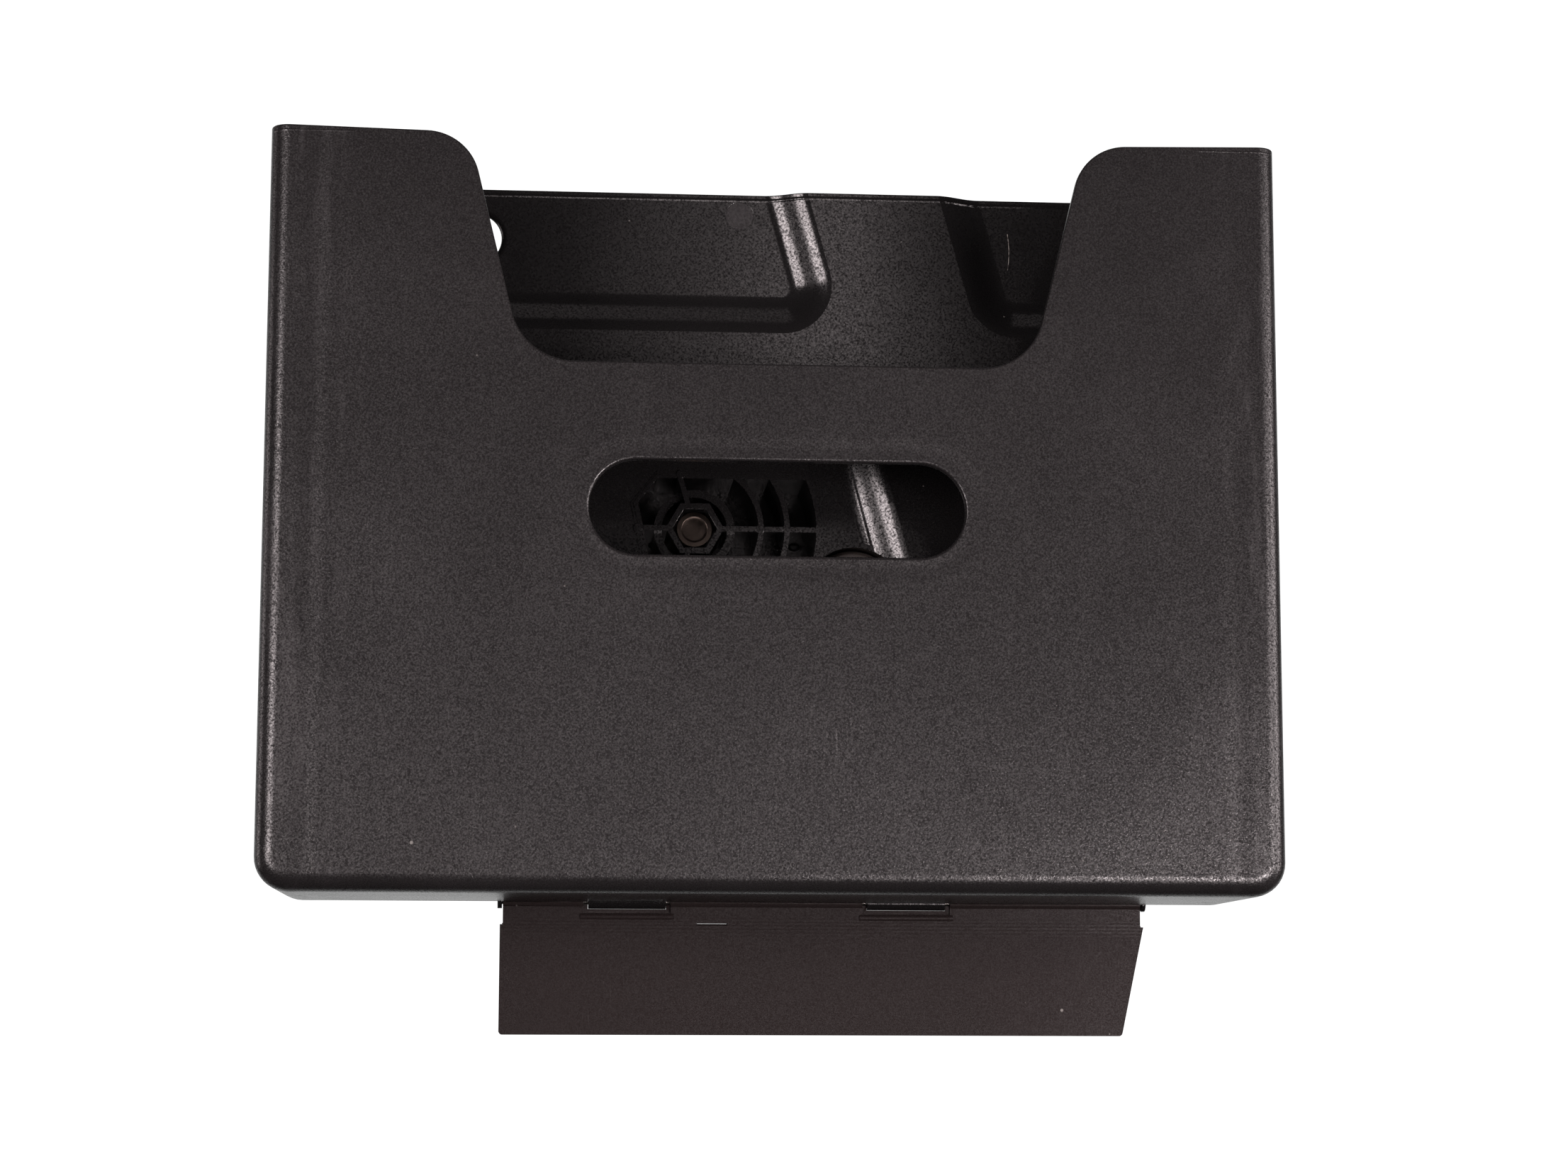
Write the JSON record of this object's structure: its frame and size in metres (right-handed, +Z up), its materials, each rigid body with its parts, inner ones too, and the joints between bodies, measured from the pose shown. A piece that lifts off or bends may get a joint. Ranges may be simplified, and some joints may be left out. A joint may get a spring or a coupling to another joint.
{
  "type": "napkin dispenser",
  "caption": "Open-topped black plastic napkin pocket with a U-shaped front cut-out, a finger slot, a hinged rear skirt and a knob-tightened pole clamp.",
  "frame": {"origin": "middle of the flat floor of the clamp's fixed pole seat, on the rubber liner, where the holder meets the pole that carries it", "axes": "+Y points to the rear, out of the pole seat towards the pole and knob; the napkins and the finger slot are on the -Y side; +Z is up along the pole; +X is to the right seen from the front"},
  "size_m": [0.3048, 0.1453, 0.2697],
  "materials": {
    "black_plastic": "spark-eroded moulded grain, semi-matt",
    "fine_black_plastic": "fine moulded, satin",
    "clamp_plastic": "glass-filled nylon, matt",
    "grey_rubber": "matt",
    "zinc_steel": "zinc plated, slightly dulled",
    "brass": "turned"
  },
  "bodies": {
    "holder": {"front_shell": "black_plastic", "back_plate": "black_plastic", "blanking_plug": "fine_black_plastic", "hinge_pin": "zinc_steel", "clamp_bolt": "zinc_steel", "clamp_saddle": "clamp_plastic", "saddle_pad": "grey_rubber", "guide_pin_upper": "zinc_steel", "guide_pin_lower": "zinc_steel", "shell_screw_1": "zinc_steel", "shell_screw_2": "zinc_steel", "shell_screw_3": "zinc_steel", "shell_screw_4": "zinc_steel", "shell_screw_5": "zinc_steel", "shell_screw_6": "zinc_steel"},
    "skirt": {"bottom_flap": "fine_black_plastic"},
    "jaw": {"clamp_jaw": "clamp_plastic", "jaw_pad": "grey_rubber", "clamp_washer": "zinc_steel"},
    "knob": {"star_knob": "clamp_plastic", "knob_insert": "brass"}
  },
  "joints": [
    {"name": "skirt_hinge", "type": "hinge", "parent": "holder", "child": "skirt", "pos_m": [0.0166, -0.0332, -0.1173], "axis": [1, 0, 0], "range_deg": [-40, 90]},
    {"name": "jaw_slide", "type": "slide", "parent": "holder", "child": "jaw", "axis": [0, 1, 0], "range_m": [0, 0.015]},
    {"name": "knob_turn", "type": "hinge", "parent": "jaw", "child": "knob", "pos_m": [-0.025, 0.0216, 0], "axis": [0, 1, 0], "range_deg": [0, 4252]}
  ],
  "couplings": [
    {"joint": "knob_turn", "follows": "jaw_slide", "rad_per_m": 4947.4}
  ]
}
